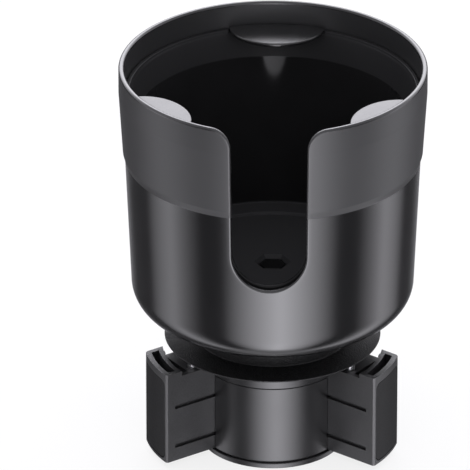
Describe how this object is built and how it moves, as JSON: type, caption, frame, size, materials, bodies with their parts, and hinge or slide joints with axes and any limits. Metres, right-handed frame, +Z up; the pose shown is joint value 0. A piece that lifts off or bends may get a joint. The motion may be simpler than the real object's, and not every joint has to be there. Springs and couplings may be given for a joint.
{
  "type": "cup holder expander",
  "caption": "Wide slotted bottle cup on a turning neck over a round hub whose padded feet slide out to grip a vehicle's cup holder.",
  "frame": {"origin": "centre of the hub's round underside, on the surface the part stands on", "axes": "+Z up along the axis of the cup and the hub; the cup's slot faces -Y; +X is to the right of someone who faces the slot"},
  "size_m": [0.108, 0.1062, 0.1458],
  "materials": {
    "shell": "satin black moulded plastic, smoother below the collar",
    "liner": "black moulded plastic, satin",
    "tab": "matt grey soft rubber",
    "disc": "black moulded plastic with a leather-like grain on top",
    "hub": "satin dark grey moulded plastic",
    "moulding": "fine textured dark grey moulded plastic",
    "pad": "matt black rubber",
    "steel": "zinc plated"
  },
  "bodies": {
    "base": {"hub_housing": "hub"},
    "cup": {"cup_shell": "shell", "inner_liner": "liner", "flex_tab_rear": "tab", "flex_tab_left": "tab", "flex_tab_right": "tab", "neck_disc": "disc", "scroll_plate": "moulding", "plate_screw_1": "steel", "plate_screw_2": "steel", "plate_screw_3": "steel", "clamp_bolt": "steel", "lock_nut": "steel", "nut_washer": "steel"},
    "foot_rear_unit": {"foot_rear": "moulding", "foot_pad_rear": "pad", "follower_pin_rear": "steel"},
    "foot_left_unit": {"foot_left": "moulding", "foot_pad_left": "pad", "follower_pin_left": "steel"},
    "foot_right_unit": {"foot_right": "moulding", "foot_pad_right": "pad", "follower_pin_right": "steel"}
  },
  "joints": [
    {"name": "cup_turn", "type": "hinge", "parent": "base", "child": "cup", "pos_m": [0, 0, 0], "axis": [0, 0, 1], "range_deg": [0, 180]},
    {"name": "foot_rear_slide", "type": "slide", "parent": "base", "child": "foot_rear_unit", "axis": [0, 1, 0], "range_m": [-0.0111, 0.0001]},
    {"name": "foot_left_slide", "type": "slide", "parent": "base", "child": "foot_left_unit", "axis": [-0.8049, -0.5934, 0], "range_m": [-0.0111, 0.0001]},
    {"name": "foot_right_slide", "type": "slide", "parent": "base", "child": "foot_right_unit", "axis": [0.8049, -0.5934, 0], "range_m": [-0.0111, 0.0001]}
  ],
  "couplings": [
    {"joint": "foot_rear_slide", "follows": "cup_turn", "m_per_rad": -0.0035014},
    {"joint": "foot_left_slide", "follows": "cup_turn", "m_per_rad": -0.0035014},
    {"joint": "foot_right_slide", "follows": "cup_turn", "m_per_rad": -0.0035014}
  ]
}
